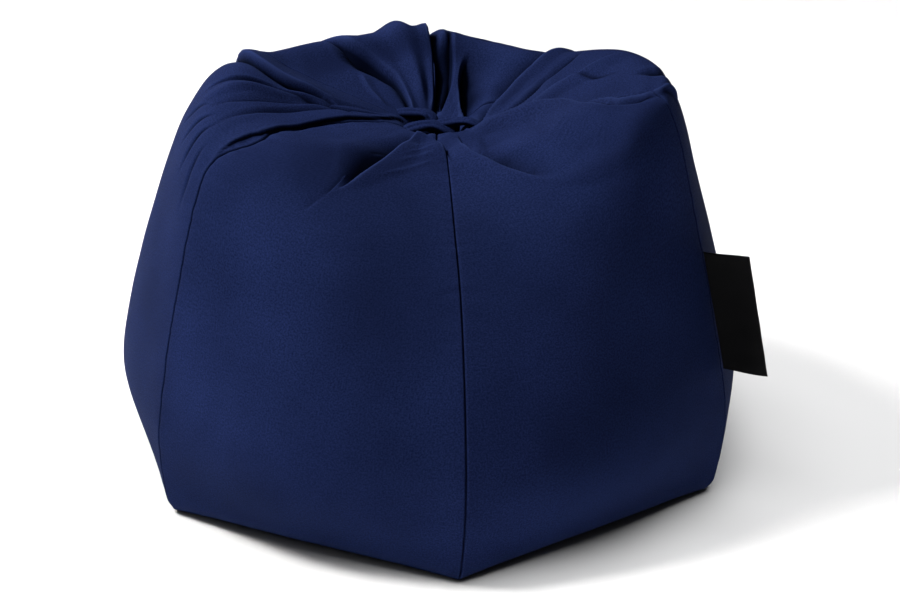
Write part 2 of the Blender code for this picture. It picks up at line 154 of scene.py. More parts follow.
# Folds, where the cloth only bends. Height is positive for a ridge and negative for a trough, low and high
# are its reach towards either side of the path, lean slides its middle towards the high side, and a sharp
# of 0 is a rounded fold.
Fold = namedtuple("Fold", "height low high lean sharp grow fade tip path")
FOLDS = (
    # The valley behind the pleat, and the short crease beside the tip of the pocket
    Fold(-0.005, 0.008, 0.007, 0.0, 1.5, 0.2, 0.4, 1.0,
         ((278, 0.9), (286, 1.3), (290, 1.7), (295, 2.2), (299, 2.8), (299, 3.6))),
    Fold(-0.004, 0.010, 0.004, 0.003, 1.6, 0.3, 0.5, 1.0,
         ((331.5, 3.25), (332, 3.42), (332, 3.58), (331, 3.76))),
    # The lines of pull across the flap beside the front seam
    Fold(0.0013, 0.006, 0.004, 0.0, 1.4, 0.25, 0.3, 1.0, ((341, 3.36), (348, 3.24), (5, 3.00))),
    Fold(0.0010, 0.005, 0.004, 0.0, 1.4, 0.25, 0.3, 1.0, ((345, 3.14), (352, 3.02), (5, 2.82))),
    Fold(0.0009, 0.004, 0.003, 0.0, 1.4, 0.25, 0.3, 1.0, ((348, 2.95), (354, 2.8), (4, 2.55))),
    Fold(0.0008, 0.004, 0.003, 0.0, 1.4, 0.25, 0.3, 1.0, ((350, 2.65), (355, 2.45), (3, 2.25))),
    # The dent beside the pinched edge to the right of the front seam
    Fold(-0.005, 0.018, 0.044, 0.0, 0, 0.45, 0.35, 1.0,
         ((36, 1.3), (31, 1.9), (29, 2.5), (29, 3.1), (35, 3.35))),
    Fold(-0.005, 0.014, 0.040, 0.0, 0, 0.3, 0.4, 1.0, ((25, 2.9), (32, 3.2), (41, 3.6))),
    # The creases behind the right shoulder
    Fold(-0.014, 0.008, 0.010, -0.003, 1.5, 0.2, 0.3, 1.0,
         ((60, 1.15), (74, 1.35), (98, 1.75), (106, 2.15), (108, 2.9))),
    Fold(-0.005, 0.012, 0.014, 0.0, 1.3, 0.4, 0.5, 1.0, ((96, 2.05), (89, 2.2), (83, 2.4), (79, 2.7))),
    Fold(-0.008, 0.022, 0.022, 0.0, 0, 0.4, 0.4, 1.0, ((76, 2.7), (78, 3.2), (80, 3.6), (81, 4.0))),
    Fold(0.006, 0.012, 0.014, 0.0, 0, 0.4, 0.4, 1.0, ((66, 3.3), (70, 3.65), (73, 4.0))),
    # The fine crease at the back, and the middle lobe
    Fold(-0.018, 0.008, 0.010, 0.0, 1.5, 0.15, 0.4, 1.0,
         ((174, 0.8), (169, 1.5), (170, 2.1), (172, 3.2))),
    Fold(0.011, 0.022, 0.026, 0.0, 0, 0.2, 0.35, 1.0, ((200, 0.7), (196, 1.5), (197, 2.5), (200, 3.6))),
    Fold(0.004, 0.012, 0.010, 0.0, 1.3, 0.2, 0.3, 1.0, ((248, 1.2), (238, 1.6), (228, 2.0))),
    # The creases in front of the left shoulder's edge
    Fold(-0.006, 0.006, 0.014, -0.002, 1.3, 0.2, 0.4, 1.0,
         ((296, 1.3), (286, 1.7), (282, 2.3), (282, 2.9), (284, 3.6))),
    Fold(-0.007, 0.012, 0.006, 0.002, 1.3, 0.2, 0.4, 1.0,
         ((274, 1.1), (284, 1.7), (290, 2.3), (293, 2.8), (292, 3.5))),
    Fold(0.005, 0.014, 0.014, 0.0, 0, 0.3, 0.4, 1.0, ((280, 1.6), (284, 2.3), (287, 3.0), (287, 3.7))),
    # The fan of fine creases where the left shoulder turns down
    Fold(-0.0035, 0.008, 0.008, 0.0, 1.5, 0.4, 0.5, 1.0, ((300, 3.2), (297, 3.7), (294, 4.25))),
    Fold(-0.0030, 0.007, 0.009, 0.0, 1.5, 0.4, 0.5, 1.0, ((297, 3.1), (293, 3.6), (288, 4.10))),
    Fold(-0.0028, 0.008, 0.007, 0.0, 1.5, 0.4, 0.5, 1.0, ((303, 3.5), (301, 3.9), (300, 4.45))),
    Fold(-0.0028, 0.007, 0.008, 0.0, 1.5, 0.4, 0.5, 1.0, ((292, 3.2), (287, 3.6), (281, 4.00))),
    # The soft turn below the right shoulder
    Fold(0.006, 0.030, 0.034, 0.0, 0, 0.4, 0.4, 1.0, ((36, 3.55), (45, 3.7), (52, 3.75), (62, 3.5))),
)


def smooth(x):
    """A soft step from 0 to 1."""
    x = np.clip(x, 0.0, 1.0)
    return x * x * (3 - 2 * x)


def catmull(a, b, c, d, t):
    """The Catmull-Rom curve between b and c."""
    return b + 0.5 * t * (c - a + t * (2 * a - 5 * b + 4 * c - d + t * (3 * (b - c) + d - a)))


def spline(values, at):
    """A curve through evenly spaced values, held at both ends. Each point may have a column of its own."""
    values = np.asarray(values, float).reshape(len(values), -1)
    values = np.broadcast_to(values, (len(values), at.size))
    last = len(values) - 1
    i = np.clip(np.floor(at).astype(int), 0, last - 1)
    column = np.arange(at.size)
    four = [values[np.clip(i + k, 0, last), column] for k in (-1, 0, 1, 2)]
    return catmull(*four, at - i)


def around(values, azimuth):
    """A curve round the bag, through one value for each section."""
    values = np.asarray(values, float)
    at = (azimuth - SECTIONS[0].azimuth) / 360 * len(values)
    i = np.floor(at).astype(int)
    return catmull(*(values[(i + k) % len(values)] for k in (-1, 0, 1, 2)), at - i)


def seam_azimuth(k, station):
    """The azimuth of seam k at each station, past 360 for a seam after the last one."""
    turns, k = divmod(k, len(SEAMS))
    s = SEAMS[k]
    upper = s.neck + (s.crest - s.neck) * smooth(station / CREST)
    upper = upper + s.bow * np.sin(math.pi * np.clip(station / CREST, 0, 1))
    middle = s.crest + (s.shoulder - s.crest) * smooth(station - CREST)
    lower = s.shoulder + (s.base - s.shoulder) * smooth((station - SHOULDER) / (EDGE - SHOULDER))
    return np.where(station < CREST, upper, np.where(station < SHOULDER, middle, lower)) + 360 * turns


def filled_points(azimuth, station, across):
    """Points of the smooth filled form. Across is 0 and 1 on the seams beside them."""
    s = Section(*(around([row[k] for row in SECTIONS], azimuth) for k in range(len(Section._fields))))
    slope_r = s.lip_r + SLOPE_SHARE * (s.crest_r - s.lip_r)
    slope_z = s.lip_z + SLOPE_SHARE * (s.crest_z - s.lip_z)
    hem_r = s.base_r + HEM_SHARE * (s.belly_r - s.base_r) + HEM_BULGE
    level = np.ones_like(azimuth)
    radii = (
        NECK_RADIUS * level, s.lip_r, slope_r, s.crest_r, s.shoulder_r,
        s.flank_r, s.belly_r, hem_r, s.base_r, s.base_r - SEAM_TUCK,
    )
    heights = (
        NECK_HEIGHT * level, s.lip_z, slope_z, s.crest_z, s.shoulder_z, FLANK_HEIGHT * level,
        BELLY_HEIGHT * level, HEM_HEIGHT * level, EDGE_HEIGHT * level, (BASE_THICKNESS + GAP) * level,
    )
    half = math.pi / len(SEAMS)
    flat = math.cos(half) / np.cos((across - 0.5) * 2 * half)
    radius = spline(radii, station) * (1 - spline(HEXAGON, station) * (1 - flat))
    drift = 1 - smooth((station - LIP) / (SHOULDER - LIP))
    a = np.radians(azimuth)
    x = radius * np.sin(a) + NECK_OFFSET.x * drift
    y = -radius * np.cos(a) + NECK_OFFSET.y * drift
    return np.stack((x, y, spline(heights, station)), axis=-1)


def spots(azimuth, station):
    """Points of the smooth filled form by azimuth and station alone."""
    place = np.zeros_like(azimuth)
    across = np.zeros_like(azimuth)
    for k in range(len(SEAMS)):
        low, high = seam_azimuth(k, station), seam_azimuth(k + 1, station)
        share = ((azimuth - low) % 360) / (high - low)
        inside = share < 1
        place[inside] = azimuth[inside]
        across[inside] = share[inside]
    return filled_points(place, station, across)


def lift_ways(azimuth, station):
    """The way in which a fold moves each point: up on the top of the bag and outward on its sides."""
    a, angle = np.radians(azimuth), np.radians(spline(FOLD_ANGLES, station))
    return np.stack((np.sin(a) * np.cos(angle), -np.cos(a) * np.cos(angle), np.sin(angle)), axis=-1)


# The steps in a path's line between two of its points, and how near its parts blend into one another
PATH_STEPS = 8
CLOSEST = 0.002


def fold_line(path):
    """A smooth line on the filled form through a fold's path."""
    path = np.array(path, float)
    path[:, 0] = np.degrees(np.unwrap(np.radians(path[:, 0])))
    at = np.linspace(0, len(path) - 1, (len(path) - 1) * PATH_STEPS + 1)
    return spots(spline(path[:, 0], at), spline(path[:, 1], at))


def unit(vectors):
    return vectors / np.linalg.norm(vectors, axis=-1, keepdims=True)


def beside(path, reach, points, ways):
    """Which points lie near a path, how far along, beside and past its end, and its high side there."""
    line = fold_line(path)
    near = np.flatnonzero(np.all((points > line.min(0) - reach) & (points < line.max(0) + reach), axis=1))
    starts, steps = line[:-1], line[1:] - line[:-1]
    lengths = np.linalg.norm(steps, axis=1)
    offset = points[near][:, None, :] - starts[None]
    along = np.clip((offset * steps).sum(-1) / lengths ** 2, 0, 1)
    offset = offset - along[..., None] * steps
    square = (offset ** 2).sum(-1)
    nearest = square.argmin(1)
    closeness = (square + CLOSEST ** 2) ** -3
    done = np.concatenate(([0.0], np.cumsum(lengths)))
    t = ((done[:-1] + along * lengths) * closeness).sum(1) / closeness.sum(1) / done[-1]
    offset = offset[np.arange(len(nearest)), nearest]
    side = np.cross(ways[near], unit(steps)[nearest])
    side /= np.linalg.norm(side, axis=1)[:, None]
    distance = (offset * side).sum(1)
    apart = np.sqrt(np.maximum((offset ** 2).sum(1) - distance ** 2, 0))
    return near, t, distance, apart, side


# Every fold is narrow at the neck and widens over the first share of its path. A crease has a thin line of
# painted shade, as dark as it is deep, and a tuck has one under its rolled edge.
FOLD_ROOT = 0.45
ROOT_SHARE = 0.5
TIP_SHARE = 0.45
PAST_END = 0.6
CREASE_LINE = 0.0030
DARK_CREASE = 0.024
LINE_PLACE = 0.9


def widths(fold, t):
    """How wide a fold is along its path, as a share: narrow at the neck and its tip at the outer end."""
    root = FOLD_ROOT + (1 - FOLD_ROOT) * smooth(t / ROOT_SHARE)
    tip = fold.tip + (1 - fold.tip) * smooth((1 - t) / TIP_SHARE)
    return root * tip


def fold_shift(fold, points, ways):
    """How far one fold raises each point and pushes it sideways, and its painted shade line there."""
    rise, line, push = np.zeros(len(points)), np.zeros(len(points)), np.zeros_like(points)
    near, t, distance, apart, side = beside(fold.path, max(fold.low, fold.high), points, ways)
    away = np.hypot(distance, PAST_END * apart)
    share = np.clip(1 - away / (np.where(distance < 0, fold.low, fold.high) * widths(fold, t)), 0, 1)
    ends = smooth(t / fold.grow) * smooth((1 - t) / fold.fade)
    shape = share ** fold.sharp if fold.sharp else smooth(share)
    rise[near] = fold.height * ends * shape
    push[near] = side * (fold.lean * ends * smooth(share))[:, None]
    if fold.sharp:
        depth = np.clip(-fold.height / DARK_CREASE, 0, 1)
        line[near] = depth * ends * np.exp(-(away / CREASE_LINE) ** 2)
    return rise, push, line


def tuck_shift(tuck, points, ways):
    """How far one tuck raises each point and pushes it sideways, and its painted shade line there."""
    rise, line, push = np.zeros(len(points)), np.zeros(len(points)), np.zeros_like(points)
    reach = max(tuck.top, tuck.curl + tuck.under)
    near, t, distance, apart, side = beside(tuck.path, reach, points, ways)
    width = widths(tuck, t)
    q = tuck.side * distance / width
    turn = math.pi * np.clip(q / tuck.curl, 0, 1)
    under = np.clip(1 - (q - tuck.curl) / tuck.under, 0, 1)
    edge = tuck.rise - (tuck.rise + tuck.depth) * (1 - np.cos(turn)) / 2
    lower = -tuck.depth * under ** 2
    lift = np.where(q < 0, tuck.rise * smooth(1 + q / tuck.top), np.where(q < tuck.curl, edge, lower))
    slide = np.where(q < tuck.curl, tuck.roll * np.sin(turn) - q, -tuck.curl * smooth(under))
    slide = np.where(q < 0, 0.0, slide)
    ends = smooth(t / tuck.grow) * smooth((1 - t) / tuck.fade) * smooth(2 - 2 * apart / reach)
    rise[near] = lift * ends * np.sqrt(width)
    push[near] = side * (tuck.side * slide * ends * width)[:, None]
    line[near] = ends * np.exp(-((q - LINE_PLACE * tuck.curl) / CREASE_LINE) ** 2)
    return rise, push, line


def noise_at(points, pitch, seed):
    """Soft noise from about -1 to 1 at each point, with hills about a pitch apart."""
    start = Vector((seed, 2.0 * seed, -seed))
    return np.array([noise.noise(Vector(p) / pitch + start) for p in points])


# The mesh: rows between stations, columns at fixed distances from each seam, and columns between those
ROWS = (16, 30, 44, 56, 38, 22, 20, 12, 4)
SEAM_COLUMNS = (0.0, 0.0005, 0.0011, 0.0018, 0.0028, 0.0042, 0.0062, 0.0090)
SEAM_SHARE = 0.30
MIDDLE_COLUMNS = 156
MEASURING_STEPS = 25


def panel_rows():
    """The station of every row."""
    listed = [k + i / n for k, n in enumerate(ROWS) for i in range(n)]
    return np.array(listed + [float(UNDER)])


def across_columns(width):
    """Shares across a panel of this width: close together beside the seams and even between them."""
    scale = min(1.0, SEAM_SHARE * width / SEAM_COLUMNS[-1])
    edge = np.array(SEAM_COLUMNS) * scale / width
    middle = np.linspace(edge[-1], 1 - edge[-1], MIDDLE_COLUMNS)
    return np.concatenate((edge[:-1], middle, 1 - edge[-2::-1]))


def panel_grid(k):
    """Azimuth, station, across and width for every point of panel k's mesh, as rows of columns."""
    rows = panel_rows()
    low, high = seam_azimuth(k, rows), seam_azimuth(k + 1, rows)
    count = 2 * (len(SEAM_COLUMNS) - 1) + MIDDLE_COLUMNS
    coarse = np.linspace(0, 1, MEASURING_STEPS)
    grid = []
    for i, station in enumerate(rows):
        azimuth = low[i] + (high[i] - low[i]) * coarse
        line = filled_points(azimuth, np.full(coarse.size, station), coarse)
        width = np.linalg.norm(np.diff(line, axis=0), axis=1).sum()
        across = across_columns(width)
        azimuth = low[i] + (high[i] - low[i]) * across
        grid.append(np.stack((azimuth, np.full(count, station), across, np.full(count, width))))
    return np.stack(grid, axis=1)


# The seams lie in a groove, the cloth draws in a little beside them and puckers along them
SEAM_DEPTH = 0.0028
SEAM_WIDTH = 0.0011
SEAM_DRAW = 0.0022
SEAM_DRAW_WIDTH = 0.016
PUCKER_SIZE = 0.0012
PUCKER_PITCH = 0.012
PUCKER_REACH = 0.020
PUCKER_STRETCH = 0.3
PUCKER_SEED = 3.0

# Broad and fine waves of the cloth over the beads, stronger on the top, and fine rays round the neck
CLOTH_WAVE = 0.0028
CLOTH_WAVE_PITCH = 0.11
CLOTH_WAVE_SEED = 7.0
CLOTH_WAVE_BELOW = 0.45
FINE_WAVE = 0.4
FINE_WAVE_PITCH = 0.45 * CLOTH_WAVE_PITCH
FINE_WAVE_SEED = 11.0
RAY_SIZE = 0.0012
RAY_PITCH = math.pi / 22
RAY_STRETCH = 0.12
RAY_FADE = 2.5
RAY_SEED = 5.0

# How deep the folds may go, as a share of the radius, how far the neck is sunk, the stations over which
# every detail dies out at both ends, and how dark the painted shade in the hollows and seam grooves is
DEEPEST_SHARE = 0.42
PIT_DEPTH = 0.010
PIT_REACH = 1.1
END_FADE = 0.5
HOLLOW_DEPTH = 0.022
HOLLOW_SHARE = 0.8
SEAM_SHADE = 0.7


def folded_points(grid):
    """The folded cover's points for a grid, with its seams and small waves, and its painted shade there."""
    azimuth, station, across, width = (part.ravel() for part in grid)
    base = filled_points(azimuth, station, across)
    ways = lift_ways(azimuth, station)
    rise, lines, push = np.zeros(len(base)), np.zeros(len(base)), np.zeros_like(base)
    for shift, folds in ((tuck_shift, TUCKS), (fold_shift, FOLDS)):
        for fold in folds:
            more, sideways, line = shift(fold, base, ways)
            rise += more
            push += sideways
            lines = np.maximum(lines, line)
    radius = np.hypot(base[:, 0] - NECK_OFFSET.x, base[:, 1] - NECK_OFFSET.y)
    deepest = -DEEPEST_SHARE * radius
    rise = np.where(station < CREST + 0.5, np.maximum(rise, deepest), rise)
    clear = smooth(station / END_FADE) * smooth((EDGE - station) / END_FADE)
    edge = np.minimum(across, 1 - across) * width
    groove = np.exp(-(edge / SEAM_WIDTH) ** 2)
    rise -= clear * SEAM_DEPTH * groove
    rise -= clear * SEAM_DRAW * np.exp(-edge / SEAM_DRAW_WIDTH)
    # Painted shade: deep hollows, the thin crease lines and the seam grooves darken the cloth
    painted_hollow_shade = HOLLOW_SHARE * smooth(-rise / HOLLOW_DEPTH) + lines + SEAM_SHADE * groove
    nearest_seam = np.round(azimuth / (360 / len(SEAMS))) % len(SEAMS)
    crossways = np.stack((PUCKER_STRETCH * edge, base[:, 2] - radius, nearest_seam), axis=-1)
    puckers = noise_at(crossways, PUCKER_PITCH, PUCKER_SEED)
    rise += clear * PUCKER_SIZE * puckers * np.exp(-edge / PUCKER_REACH)
    wave = noise_at(base, CLOTH_WAVE_PITCH, CLOTH_WAVE_SEED)
    wave += FINE_WAVE * noise_at(base, FINE_WAVE_PITCH, FINE_WAVE_SEED)
    wave *= CLOTH_WAVE_BELOW + (1 - CLOTH_WAVE_BELOW) * smooth((FLANK - station) / 2)
    rise += clear * CLOTH_WAVE * wave
    a = np.radians(azimuth)
    rays = noise_at(np.stack((np.sin(a), np.cos(a), RAY_STRETCH * station), axis=-1), RAY_PITCH, RAY_SEED)
    rise += clear * RAY_SIZE * rays * smooth((SHOULDER - station) / RAY_FADE)
    points = base + ways * rise[:, None] + push * clear[:, None]
    points[:, 2] -= PIT_DEPTH * (1 - smooth(station / PIT_REACH))
    return points, painted_hollow_shade


def core_points(station):
    """The upright core line under the neck, behind each row."""
    height = spline(CORE_HEIGHTS, station)
    level = np.ones_like(height)
    return np.stack((NECK_OFFSET.x * level, NECK_OFFSET.y * level, height), axis=-1)


# A mark compares each point with those so many steps away
WEAR_SHADE_REACHES = (2, 4)
WEAR_SHADE_STRENGTH = 1.2


def wear_and_shade_marks(points):
    """Where a grid of cloth stands proud, positive, for wear, or lies in a crease, negative, for painted
    shade, from -1 to 1.
    """
    over = np.roll(points, 1, axis=0) - np.roll(points, -1, axis=0)
    along = np.roll(points, 1, axis=1) - np.roll(points, -1, axis=1)
    normal = unit(np.cross(over, along) + 1e-12)
    marks = np.zeros(points.shape[:2])
    for reach in WEAR_SHADE_REACHES:
        level = sum(np.roll(points, step, axis=axis) for step in (reach, -reach) for axis in (0, 1)) / 4
        spacing = np.linalg.norm(np.roll(points, reach, axis=0) - points, axis=-1) + 1e-4
        marks += ((points - level) * normal).sum(-1) / spacing
    outward = np.sign((normal * unit(points - points.mean((0, 1)))).sum(-1).mean())
    marks *= outward
    rim = max(WEAR_SHADE_REACHES)
    marks[:rim] = marks[-rim:] = 0
    marks[:, :rim] = marks[:, [rim]]
    marks[:, -rim:] = marks[:, [-rim - 1]]
    return np.clip(WEAR_SHADE_STRENGTH * marks, -1, 1)


def mesh_object(name, vertices, faces, uvs=None, marks=None):
    """A smooth-shaded mesh, with thread coordinates in metres and marks of wear and painted shade where
    given.
    """
    mesh = bpy.data.meshes.new(name)
    mesh.from_pydata([tuple(v) for v in vertices], [], faces)
    if uvs is not None:
        layer = mesh.uv_layers.new(name="threads")
        corners = np.zeros(len(mesh.loops), np.int32)
        mesh.loops.foreach_get("vertex_index", corners)
        layer.data.foreach_set("uv", np.asarray(uvs, np.float32)[corners].ravel())
    if marks is not None:
        attribute = mesh.attributes.new("ridge_wear_crease_shade", "FLOAT", "POINT")
        attribute.data.foreach_set("value", np.asarray(marks, np.float32))
    mesh.polygons.foreach_set("use_smooth", [True] * len(mesh.polygons))
    obj = bpy.data.objects.new(name, mesh)
    bpy.context.scene.collection.objects.link(obj)
    return obj


def grid_faces(rows, columns):
    """The faces of a grid of points."""
    faces = []
    for i in range(rows - 1):
        for j in range(columns - 1):
            a = i * columns + j
            faces.append((a, a + 1, a + columns + 1, a + columns))
    return faces


# How much darker the painted shade of a hollow makes the cloth
HOLLOW_SHADE = 1.1


def sew_panel(k):
    """One panel with the filling behind it, as a closed form."""
    grid = panel_grid(k)
    rows, columns = grid.shape[1:]
    points, painted_hollow_shade = folded_points(grid)
    points = points.reshape(rows, columns, 3)
    core = core_points(grid[1][:, 0])
    low, high = (unit((points[:, end] - core) * (1, 1, 0)) for end in (0, -1))
    half = 0.5 * np.arccos(np.clip((low * high).sum(1), -1, 1))
    inset = unit(low + high) * (0.5 * GAP / np.sin(half))[:, None]
    points[:, 0] += np.stack((-low[:, 1], low[:, 0], 0 * low[:, 0]), axis=-1) * 0.5 * GAP
    points[:, -1] -= np.stack((-high[:, 1], high[:, 0], 0 * high[:, 0]), axis=-1) * 0.5 * GAP
    step_over = np.linalg.norm(np.diff(points, axis=1), axis=-1)
    u = np.concatenate((np.zeros((rows, 1)), np.cumsum(step_over, axis=1)), axis=1)
    u -= u[:, [columns // 2]]
    step_down = np.linalg.norm(np.diff(points[:, columns // 2], axis=0), axis=-1)
    v = np.concatenate(([0.0], np.cumsum(step_down)))[:, None] * np.ones((1, columns))
    first_core = rows * columns
    faces = [face[::-1] for face in grid_faces(rows, columns)]
    for i in range(rows - 1):
        a, b = i * columns, (i + 1) * columns
        faces.append((a, b, first_core + i + 1, first_core + i))
        faces.append((a + columns - 1, first_core + i, first_core + i + 1, b + columns - 1))
    for i, flip in ((0, 1), (rows - 1, -1)):
        for j in range(columns - 1):
            a = i * columns + j
            faces.append((a, a + 1, first_core + i)[::flip])
    vertices = np.concatenate((points.reshape(-1, 3), core + inset))
    uvs = np.concatenate((np.stack((u, v), axis=-1).reshape(-1, 2), np.zeros((rows, 2))))
    # The marks: wear where the cloth stands proud, painted shade in creases, hollows and seam grooves
    marks = np.clip(wear_and_shade_marks(points).ravel() - HOLLOW_SHADE * painted_hollow_shade, -1, 1)
    marks = np.concatenate((marks, np.zeros(rows)))
    return mesh_object("cover_" + PANELS[k], vertices, faces, uvs, marks)


def add_node(tree, kind, place, **settings):
    node = tree.nodes.new(kind)
    node.location = place
    for name, value in settings.items():
        setattr(node, name, value)
    return node


def join(tree, socket, value):
    """Feeds a socket from another one, or sets it to a plain value."""
    if isinstance(value, bpy.types.NodeSocket):
        tree.links.new(value, socket)
    else:
        socket.default_value = value


def math_node(tree, operation, *values, place=(0, 0), clamp=False):
    """A Math node fed by sockets or plain numbers."""
    node = add_node(tree, "ShaderNodeMath", place, operation=operation, use_clamp=clamp)
    for socket, value in zip(node.inputs, values):
        join(tree, socket, value)
    return node.outputs[0]


def noise_node(tree, vector, place, scale=1.0, detail=2.0, roughness=0.5):
    """A Noise Texture's factor."""
    node = add_node(tree, "ShaderNodeTexNoise", place, noise_dimensions="3D")
    join(tree, node.inputs["Vector"], vector)
    join(tree, node.inputs["Scale"], scale)
    node.inputs["Detail"].default_value = detail
    node.inputs["Roughness"].default_value = roughness
    return node.outputs["Fac"]


def new_group(name, inputs, outputs):
    """An empty shader node group with its named float sockets."""
    group = bpy.data.node_groups.new(name, "ShaderNodeTree")
    for label, default in inputs:
        socket = group.interface.new_socket(name=label, in_out="INPUT", socket_type="NodeSocketFloat")
        socket.default_value = default
    for label in outputs:
        group.interface.new_socket(name=label, in_out="OUTPUT", socket_type="NodeSocketFloat")
    entry = add_node(group, "NodeGroupInput", (-900, 0))
    leave = add_node(group, "NodeGroupOutput", (900, 0))
    return group, entry.outputs[:len(inputs)], leave.inputs[:len(outputs)]


# The weave group: plain weave from the thread coordinates. Height is the threads' relief, Slub the uneven
# thickness and shade of single threads, and Nap the short fuzz that lies unevenly over them, all 0 to 1.
# The two noise values say how fine the slubs and the nap are, in steps to a metre.
SLUB_NOISE = 900.0
NAP_NOISE = 430.0
weave, (thread_count, slub_length), (height_out, slub_out, nap_out) = new_group(
    "plain_weave", (("Threads per metre", 2000.0), ("Slub length", 40.0)), ("Height", "Slub", "Nap"),
)
threads = add_node(weave, "ShaderNodeUVMap", (-900, 300), uv_map="threads")
split = add_node(weave, "ShaderNodeSeparateXYZ", (-700, 300))
join(weave, split.inputs[0], threads.outputs[0])
half_turns = math_node(weave, "MULTIPLY", thread_count, math.pi, place=(-700, 100))
waves = []
slubs = []
for axis in (0, 1):
    phase = math_node(weave, "MULTIPLY", split.outputs[axis], half_turns, place=(-500, 300 - 200 * axis))
    waves.append(math_node(weave, "SINE", phase))
    stretch = add_node(weave, "ShaderNodeCombineXYZ", (-300, -200 - 200 * axis))
    join(weave, stretch.inputs[0], math_node(weave, "MULTIPLY", split.outputs[axis], SLUB_NOISE))
    join(weave, stretch.inputs[1], math_node(weave, "MULTIPLY", split.outputs[1 - axis], slub_length))
    slubs.append(noise_node(weave, stretch.outputs[0], (-100, -200 - 200 * axis)))
warp, weft = (math_node(weave, "ABSOLUTE", wave) for wave in waves)
over = math_node(weave, "MULTIPLY_ADD", math_node(weave, "MULTIPLY", *waves), 0.5, 0.5)
under = math_node(weave, "SUBTRACT", 1.0, over)
warp_top = math_node(weave, "MULTIPLY", warp, over)
weft_top = math_node(weave, "MULTIPLY", weft, under)
join(weave, height_out, math_node(weave, "MAXIMUM", warp_top, weft_top))
join(weave, slub_out, math_node(weave, "MULTIPLY", math_node(weave, "ADD", *slubs), 0.5))
spread = add_node(weave, "ShaderNodeVectorMath", (-300, -600), operation="SCALE")
join(weave, spread.inputs[0], threads.outputs[0])
join(weave, spread.inputs["Scale"], NAP_NOISE)
join(weave, nap_out, noise_node(weave, spread.outputs[0], (-100, -600), roughness=0.7))

# The wear and shade group: Worn is how rubbed the cloth is on its ridges, and Shade is painted shade,
# from 0 in a deep crease, painted dark, to 1 on open cloth, both uneven from place to place.
UNEVEN_BASE = 0.25
CREASE_STRENGTH = 1.1
wear_and_shade_group, (patch_size,), (worn_out, shade_out) = new_group(
    "cloth_wear_and_shade", (("Patch size", 6.0),), ("Worn", "Shade"),
)
ridge_wear_crease_shade = add_node(wear_and_shade_group, "ShaderNodeAttribute", (-900, 200), attribute_name="ridge_wear_crease_shade").outputs["Fac"]
place = add_node(wear_and_shade_group, "ShaderNodeNewGeometry", (-900, -100)).outputs["Position"]
patch = noise_node(wear_and_shade_group, place, (-600, -100), scale=patch_size, detail=3.0)
uneven = math_node(wear_and_shade_group, "ADD", patch, UNEVEN_BASE)
join(wear_and_shade_group, worn_out, math_node(wear_and_shade_group, "MULTIPLY", math_node(wear_and_shade_group, "MAXIMUM", ridge_wear_crease_shade, 0.0), uneven, clamp=True))
painted_crease_shade = math_node(wear_and_shade_group, "MINIMUM", ridge_wear_crease_shade, 0.0)
# Painted shade: the deeper the crease, the darker the cloth is painted there
join(wear_and_shade_group, shade_out, math_node(wear_and_shade_group, "MULTIPLY_ADD", painted_crease_shade, CREASE_STRENGTH, uneven, clamp=True))


def mix_colour(tree, factor, first, second, place):
    """A Mix node between two colours or colour sockets."""
    node = add_node(tree, "ShaderNodeMix", place, data_type="RGBA")
    join(tree, node.inputs[0], factor)
    join(tree, node.inputs[6], first)
    join(tree, node.inputs[7], second)
    return node.outputs[2]


def new_material(name):
    """A material, its node tree and its shader's sockets."""
    material = bpy.data.materials.new(name)
    material.use_nodes = True
    tree = material.node_tree
    return material, tree, tree.nodes["Principled BSDF"].inputs


def add_group(tree, group, place, **values):
    node = add_node(tree, "ShaderNodeGroup", place, node_tree=group)
    for name, value in values.items():
        node.inputs[name.replace("_", " ")].default_value = value
    return node.outputs


def thread_relief(tree, shader, height, strength, distance):
    """Raises the threads with a Bump node. Its distance is in metres."""
    bump = add_node(tree, "ShaderNodeBump", (-300, -250))
    bump.inputs["Strength"].default_value = strength
    bump.inputs["Distance"].default_value = distance
    join(tree, bump.inputs["Height"], height)
    join(tree, shader["Normal"], bump.outputs[0])


NAVY = (0.0024, 0.0056, 0.0270, 1.0)
NAVY_LIGHT = (0.0180, 0.0300, 0.1120, 1.0)
NAVY_WORN = (0.0190, 0.0320, 0.1080, 1.0)
# The dark navy of the painted shade in creases, hollows, seam grooves and the knot
NAVY_PAINTED_SHADE = (0.0014, 0.0030, 0.0135, 1.0)
NAVY_SHEEN = (0.30, 0.46, 1.0, 1.0)
NAVY_SHEEN_WEIGHT = 0.016
NAVY_SHEEN_ROUGHNESS = 0.45
NAVY_SHINE = 0.015
NAVY_ROUGHNESS = 0.72
NAVY_RELIEF = 0.45
NAVY_RELIEF_DEPTH = 0.00025
NAP_CONTRAST = 4.2
NAP_START = -1.6
SLUB_ROUGHNESS = 0.16
SLUB_RELIEF = 1.6


